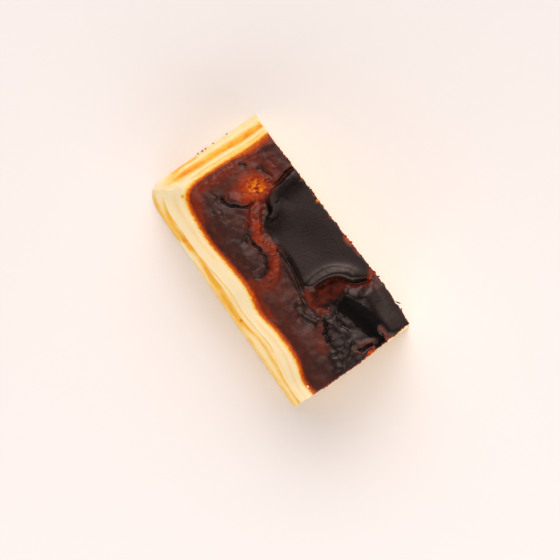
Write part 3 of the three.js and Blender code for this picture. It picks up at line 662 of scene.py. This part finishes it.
# Lines where the paper's folds browned the custard: amount, spread in mm, then places along the side and
# shares of the flare.
left_lines = [
    (0.125, 2.1, [(37, 0.43), (20, 0.49), (10, 0.57), (0, 0.58), (-8, 0.65), (-18, 0.69)]),
    (-0.08, 1.0, [(37, 0.25), (16, 0.3), (4, 0.32), (-12, 0.36)]),
    (-0.07, 1.3, [(37, 0.70), (10, 0.78), (-10, 0.85)]),
    (0.03, 0.5, [(37, 0.2), (16, 0.22), (4, 0.2), (-8, 0.24)]),
    (0.03, 1.1, [(-2, 0.84), (-9, 0.84), (-14, 0.78)]),
    (-0.05, 1.6, [(37, 0.92), (10, 0.93), (2, 0.94)]),
    (0.07, 0.9, [(4, 0.93), (-2, 0.95), (-8, 0.94)]),
]
front_lines = [
    (0.24, 0.9, [(-46, 0.69), (-38, 0.755), (-30, 0.83), (-24, 0.8), (-14, 0.74), (-6, 0.78), (6, 0.8),
                 (18, 0.8), (26, 0.7), (32, 0.68), (44, 0.72), (72, 0.74)]),
    (0.13, 0.45, [(-17, 0.7), (-9, 0.63), (-2, 0.58), (6, 0.54), (14, 0.52), (24, 0.49), (38, 0.49)]),
    (0.08, 1.0, [(-25, 0.82), (-20, 0.8), (-16, 0.76)]),
    (0.17, 0.9, [(-48, 0.9), (-43, 0.93), (-34, 0.945), (-20, 0.95)]),
    (0.08, 0.4, [(-13, 0.95), (-8, 0.94), (-3, 0.95)]),
    (0.05, 1.0, [(-52, 0.4), (-40, 0.36), (-24, 0.3), (-8, 0.26)]),
    (0.05, 0.7, [(16, 0.31), (34, 0.26), (48, 0.34), (66, 0.37)]),
    (-0.05, 0.4, [(-14, 0.61), (-2, 0.52), (8, 0.49), (22, 0.44), (38, 0.44)]),
    (0.06, 0.35, [(-2, 0.66), (8, 0.62), (20, 0.6), (30, 0.58), (44, 0.6)]),
    (0.05, 0.3, [(30, 0.52), (42, 0.54), (54, 0.57), (66, 0.57)]),
]
paper_lines = np.zeros(s.shape)
left_there = on_left * smooth(0.2 + from_corner / 22)
front_there = on_front * smooth(0.2 + column_number / 26)
uneven = np.clip(0.9 + 0.35 * grain(s, 0 * s, 11, 28) + 0.2 * grain(s, 0 * s, 3, 30), 0.4, 1.2)
for lines, place, there in ((left_lines, rim[:, 1], left_there), (front_lines, rim[:, 0], front_there)):
    strength = uneven * there[None]
    place_wide, w_wide = np.broadcast_arrays(place[None], flare * (share + 0.02 * grain(s, h, 5, 27)))
    for amount, spread, points in lines:
        line = [(at, flare * part) for at, part in points]
        paper_lines += amount * strength * stroke(place_wide, w_wide, line, spread, spread)
# However many lines meet, they brown the side by no more than this.
most_browned = 0.17
side_brown_and_shade += most_browned * np.tanh(paper_lines / most_browned)
# Brown specks on the -Y side: place along it, share of the flare, amount, size.
specks = [(-14, 0.72, 0.08, 0.6), (18, 0.79, 0.10, 0.7), (50, 0.74, 0.12, 0.8),
          (57, 0.73, 0.10, 0.6), (-22, 0.8, 0.05, 1.0), (30, 0.69, 0.05, 0.9)]
for at, part, amount, size in specks:
    speck = spot(rim[None, :, 0], flare * share, (at, flare * part), (size * 1.6, size))
    side_brown_and_shade += amount * speck * on_front[None]
# The foot of the -Y side is darker too, from its middle to the +X cut: partly browning and partly painted
# shade.
foot_browning_and_shade = smooth((w - 0.78) / 0.15) * smooth((rim[None, :, 0] + 8) / 12) * on_front[None]
side_brown_and_shade += foot_browning_and_shade * (0.085 + 0.05 * grain(s, 3 * h, 4, 26))
# A brown stain at the crust's corner.
side_brown_and_shade += 0.2 * spot(side[..., 0], side[..., 1], (-44.6, -18.6), (1.5, 1.2)) * baked[None]


def solid_mesh(name, parts, faces):
    """A mesh from arrays of points in millimetres and the corner numbers of each face."""
    mesh = bpy.data.meshes.new(name)
    mesh.from_pydata(np.vstack(parts) / 1000, [], faces)
    mesh.update()
    return mesh


top_points = np.stack([x, y, z], -1)
numbers = np.arange(x.size).reshape(x.shape)
quads = np.stack([numbers[:-1, :-1], numbers[1:, :-1], numbers[1:, 1:], numbers[:-1, 1:]], -1).reshape(-1, 4)
ring = round_the_rim(numbers)
flat_top = top_points.reshape(-1, 3)
flat_top[ring, :2] = rim_moved
side_points = np.dstack([side, side_z])
side_numbers = np.vstack([ring, x.size + np.arange(side_rows * columns).reshape(side_rows, columns)])
following = np.roll(side_numbers, -1, 1)
side_quads = np.stack([side_numbers[:-1], side_numbers[1:], following[1:], following[:-1]], -1).reshape(-1, 4)
base_middle = x.size + side_rows * columns
base_faces = np.stack([np.full(columns, base_middle), following[-1], side_numbers[-1]], -1)
faces = quads.tolist() + side_quads.tolist() + base_faces.tolist()
slice_mesh = solid_mesh("cheesecake_slice", [flat_top, side_points.reshape(-1, 3), [(0, 0, 0)]], faces)

# The browning, painted shade and highlights included, picks the colour of custard and skin alike, from cream
# by way of amber to black.
browning_colours = [
    (0.00, (252, 234, 200)), (0.06, (251, 225, 174)), (0.12, (248, 208, 126)), (0.18, (246, 184, 54)),
    (0.24, (238, 142, 2)), (0.31, (210, 98, 0)), (0.38, (178, 66, 0)), (0.46, (148, 42, 0)),
    (0.55, (122, 32, 0)), (0.63, (98, 26, 2)), (0.71, (76, 21, 7)), (0.79, (55, 17, 8)),
    (0.87, (38, 15, 10)), (0.94, (25, 13, 10)), (1.00, (5, 3, 2))]


def linear(colour):
    """A screen colour of 0 to 255 as the light that it stands for."""
    c = np.asarray(colour) / 255
    return (*np.where(c <= 0.04045, c / 12.92, ((c + 0.055) / 1.055) ** 2.4), 1.0)


def finish(name, shine, tint, dullness, grain_depth):
    """A finish coloured by the browning. Its roughness runs over the two values of `dullness` from brown to
    black, in patches, and fine grain stands `grain_depth` metres high."""
    material = bpy.data.materials.new(name)
    material.use_nodes = True
    nodes, links = material.node_tree.nodes, material.node_tree.links
    shader = nodes["Principled BSDF"]
    browning_and_shade = nodes.new("ShaderNodeAttribute")
    browning_and_shade.attribute_name = "brown_and_shade"
    ramp = nodes.new("ShaderNodeValToRGB")
    fill_ramp(ramp, [(place, linear(colour)) for place, colour in browning_colours])
    links.new(browning_and_shade.outputs["Fac"], ramp.inputs["Fac"])
    links.new(ramp.outputs["Color"], shader.inputs["Base Color"])
    shader.inputs["Specular IOR Level"].default_value = shine
    shader.inputs["Specular Tint"].default_value = tint

    def noise(scale):
        texture = nodes.new("ShaderNodeTexNoise")
        texture.inputs["Scale"].default_value = scale
        texture.inputs["Detail"].default_value = 4.0
        links.new(where.outputs["Object"], texture.inputs["Vector"])
        return texture.outputs["Fac"]

    def remap(value, low, high, to_low, to_high):
        node = nodes.new("ShaderNodeMapRange")
        for socket, limit in (("From Min", low), ("From Max", high), ("To Min", to_low), ("To Max", to_high)):
            node.inputs[socket].default_value = limit
        links.new(value, node.inputs["Value"])
        return node.outputs["Result"]

    where = nodes.new("ShaderNodeTexCoord")
    patches, grains = 260.0, 900.0
    roughness = nodes.new("ShaderNodeMath")
    roughness.operation = "ADD"
    links.new(remap(browning_and_shade.outputs["Fac"], 0.80, 0.95, *dullness), roughness.inputs[0])
    links.new(remap(noise(patches), 0.0, 1.0, -0.1, 0.1), roughness.inputs[1])
    links.new(roughness.outputs["Value"], shader.inputs["Roughness"])
    bump = nodes.new("ShaderNodeBump")
    bump.inputs["Strength"].default_value = 0.4
    bump.inputs["Distance"].default_value = grain_depth
    links.new(noise(grains), bump.inputs["Height"])
    links.new(bump.outputs["Normal"], shader.inputs["Normal"])
    return material, shader


burnt_skin, _ = finish("burnt_skin", 0.46, (1.0, 0.73, 0.66, 1.0), (0.45, 0.33), 0.00015)
dull_skin, _ = finish("dull_skin", 0.09, (1.0, 0.8, 0.75, 1.0), (0.55, 0.55), 0.0003)
# Light soaks a little way into the custard, which is duller than the skin. Char, the black of painted shade,
# and torn skin are dullest.
set_custard, custard_shader = finish("set_custard", 0.2, (1.0, 0.95, 0.85, 1.0), (0.5, 0.5), 0.0007)
custard_shader.inputs["Subsurface Weight"].default_value = 0.12
custard_shader.inputs["Subsurface Radius"].default_value = (1.0, 0.6, 0.3)
custard_shader.inputs["Subsurface Scale"].default_value = 0.0012

# Limits of the browning for the finishes of custard and of char, which takes in the painted black shade.
custard_below, dull_above = 0.5, 0.985


def lay_finishes(mesh, browning_and_shade, torn_skin=-1.0):
    """Puts the finishes on a mesh by the browning at each face's first corner: custard and dull skin past
    the two limits, dull skin also where `torn_skin` is over 0, and burnt skin between. Faces near a limit
    are mixed at random."""
    for material in (burnt_skin, set_custard, dull_skin):
        mesh.materials.append(material)
    first_corners = np.zeros(len(mesh.polygons), np.int32)
    mesh.polygons.foreach_get("loop_start", first_corners)
    corners = np.zeros(len(mesh.loops), np.int32)
    mesh.loops.foreach_get("vertex_index", corners)
    first = corners[first_corners]
    mixed = np.random.default_rng(5).normal(0, 1, len(first))
    pale = browning_and_shade[first] + 0.03 * mixed < custard_below
    dull = browning_and_shade[first] + 0.0015 * mixed > dull_above
    dull |= ((torn_skin + 0 * browning_and_shade)[first] + 0.3 * mixed > 0) & ~pale
    mesh.polygons.foreach_set("material_index", (pale + 2 * dull).astype(np.int32))
    mesh.polygons.foreach_set("use_smooth", np.ones(len(mesh.polygons), bool))
    attribute = mesh.attributes.new("brown_and_shade", "FLOAT", "POINT")
    attribute.data.foreach_set("value", np.clip(browning_and_shade, 0, 1).astype(np.float32))


sunken = [(22.4, 2.4), (22.4, 14), (24.6, 17.2), (28, 18.6), (30.4, 15), (32.6, 9), (32, 4), (27, -0.4)]
torn_skin = depth_inside(sunken, xw, yw) + 0.8 * grain(x, y, 1.6, 64)
lay_finishes(slice_mesh, np.concatenate([brown_and_shade.ravel(), side_brown_and_shade.ravel(), [0.1]]),
             np.concatenate([torn_skin.ravel(), np.full(side_brown_and_shade.size + 1, -9.0)]))

cheesecake = put_in_scene("cheesecake_slice", slice_mesh)
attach(cheesecake, "root")
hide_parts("cheesecake")

# --------------------
# Flakes of torn skin hang along the two cuts and at the end of the folds. Each is a thin bent scrap of the
# same burnt skin, from black to orange-brown, still stuck to the slice.
def lump(middle, half, along_way, lean, seed):
    """Points and faces of a closed uneven lump: a ball of rings, drawn out to these half sizes, its radius
    changed by a few smooth waves, with its long axis along `along_way` and tipped sideways by `lean`."""
    rings, sides = 9, 14
    waves = np.random.default_rng(seed)
    down = np.pi * np.arange(1, rings) / rings
    turn = 2 * np.pi * np.arange(sides) / sides
    ball = np.stack([np.outer(np.sin(down), np.cos(turn)), np.outer(np.sin(down), np.sin(turn)),
                     np.outer(np.cos(down), np.ones(sides))], -1).reshape(-1, 3)
    ball = np.vstack([ball, [(0, 0, 1), (0, 0, -1)]])
    radius = 1 + sum(0.16 * np.sin(ball @ waves.normal(0, 2.6, 3) + waves.uniform(0, 6)) for _ in range(3))
    points = ball * radius[:, None] * half
    points[:, 2] += 0.35 * half[2] * (points[:, 0] / half[0]) ** 2
    long_axis = Vector(along_way).normalized()
    turned = long_axis.to_track_quat("X", "Z").to_matrix() @ Matrix.Rotation(lean, 3, "X")
    points = points @ np.array(turned).T + middle
    number = np.arange((rings - 1) * sides).reshape(rings - 1, sides)
    after = np.roll(number, -1, 1)
    quads = np.stack([number[:-1], number[1:], after[1:], after[:-1]], -1).reshape(-1, 4).tolist()
    top, bottom = number.size, number.size + 1
    caps = [(top, a, b) for a, b in zip(number[0], after[0])]
    caps += [(bottom, b, a) for a, b in zip(number[-1], after[-1])]
    return points, quads + caps


def heap_of_lumps(name, lumps):
    """One mesh of many lumps (points, faces, tone), browned by their tones with a little unevenness."""
    starts = np.concatenate([[0], np.cumsum([len(points) for points, _, _ in lumps])])
    faces = [[corner + start for corner in face] for (_, own, _), start in zip(lumps, starts) for face in own]
    points = np.vstack([own for own, _, _ in lumps])
    tones = np.concatenate([np.full(len(own), tone) for own, _, tone in lumps])
    tones += 0.07 * grain(points[:, 0] + points[:, 2], points[:, 1], 0.7, 51)
    mesh = solid_mesh(name, [points], faces)
    lay_finishes(mesh, tones)
    heap = put_in_scene(name, mesh)
    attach(heap, "root")


draw = np.random.default_rng(83)
flakes = []


def skin_height(at_x, at_y):
    """Height of the crust's net at its point nearest to a place."""
    return z.ravel()[np.argmin((x - at_x).ravel() ** 2 + (y - at_y).ravel() ** 2)]


def add_flake(at_x, at_y, size, turn, tone, lift=0.0):
    """A flake of size (length, width, thickness) lying on the skin at a place and turned about Z."""
    along_way = (np.cos(turn), np.sin(turn), draw.uniform(-0.25, 0.25))
    middle = (at_x, at_y, skin_height(at_x, at_y) + lift)
    points, own = lump(middle, np.array(size) / 2, along_way, draw.uniform(-0.5, 0.5), draw.integers(10**6))
    flakes.append((points, own, tone))


back_flakes, right_flakes, crumbly_flakes = 46, 22, 16
for _ in range(back_flakes):
    at_x, at_y = along(back_line, draw.uniform(0.05, 1.0))
    size = draw.uniform((0.9, 0.6, 0.3), (2.4, 1.1, 0.5))
    add_flake(at_x, at_y + draw.uniform(-0.4, 0.1), size, draw.normal(0, 0.5),
              draw.choice([0.96, 0.9, 0.5, 0.75]), -0.2)
for _ in range(right_flakes):
    at_x, at_y = along(right_line, draw.uniform(0.02, 0.98))
    size = draw.uniform((0.9, 0.6, 0.3), (2.2, 1.1, 0.5))
    add_flake(at_x - draw.uniform(-0.1, 0.4), at_y, size, draw.normal(1.6, 0.5),
              draw.choice([0.96, 0.6, 0.45, 0.8]), -0.2)
for _ in range(crumbly_flakes):
    size = draw.uniform((0.7, 0.5, 0.3), (1.8, 0.9, 0.5))
    add_flake(draw.uniform(28.4, 33.4), draw.uniform(26, 30), size, draw.normal(2.2, 0.6),
              draw.choice([0.4, 0.5, 0.62, 0.8, 0.95]), 0.1)
# The stick at the +Y cut, then scraps near the +X cut: place, length, width, turn, tone.
add_flake(47.4, 31.6, (2.6, 0.45, 0.4), 0.55, 0.93, 0.1)
scraps = [(53.2, 8.2, 2.8, 0.6, 1.3, 0.66), (54.0, 11.2, 3.0, 0.6, 1.2, 0.54),
          (54.8, 13.6, 1.8, 0.5, 1.1, 0.62), (54.3, 4.4, 2.2, 0.6, 0.9, 0.46),
          (56.8, 9.6, 2.2, 0.8, 1.5, 0.66), (57.8, 9.0, 1.8, 0.7, 1.7, 0.38),
          (57.4, 11.8, 1.6, 0.8, 1.8, 0.42), (55.4, 19.0, 3.2, 0.7, 0.1, 0.6),
          (57.2, 19.4, 1.8, 0.6, 0.3, 0.42), (56.2, 6.6, 1.6, 0.7, 1.2, 0.85),
          (56.0, 12.8, 2.0, 0.7, 1.4, 0.85)]
for at_x, at_y, length, width, turn, tone in scraps:
    add_flake(at_x, at_y, (length, width, 0.45), turn, tone)
heap_of_lumps("skin_flakes", flakes)

# --------------------
# Crumbs: specks of brown along the foot of the -X side, custard crumbs stuck on the cut faces where the
# knife dragged them, and a pale one at the end of the crust's front edge, which stands for a glint: a painted
# highlight.
crumbs = []


def add_crumb(middle, across, tone):
    """A roundish crumb of a width `across`."""
    half = across / 2 * draw.uniform((0.9, 0.8, 0.6), (1.2, 1.0, 0.9))
    along_way = draw.normal(0, 1, 3) * (1, 1, 0.3)
    points, own = lump(middle, half, along_way, draw.uniform(-1, 1), draw.integers(10**6))
    crumbs.append((points, own, tone))


foot_places, foot_tone = (7.0, 2.8, 1.0, -1.4, 14.6), 0.36
for at_y in foot_places:
    add_crumb((-half_length + 0.25, at_y, 0.66), draw.uniform(0.8, 1.2), foot_tone)
# painted highlight: a pale crumb where a glint of light shows at the crust's corner
add_crumb((54.8, -21.3, 40.6), 0.9, 0.0)
cut_crumbs = 70
for _ in range(cut_crumbs):
    column = draw.integers(cells_x + 8, 2 * cells_x + cells_y - 30)
    level_row = draw.integers(10, side_rows - 2)
    middle = (*side[level_row, column], side_z[level_row, column])
    add_crumb(middle, draw.uniform(0.5, 1.1), draw.uniform(0.02, 0.12))
heap_of_lumps("crumbs", crumbs)
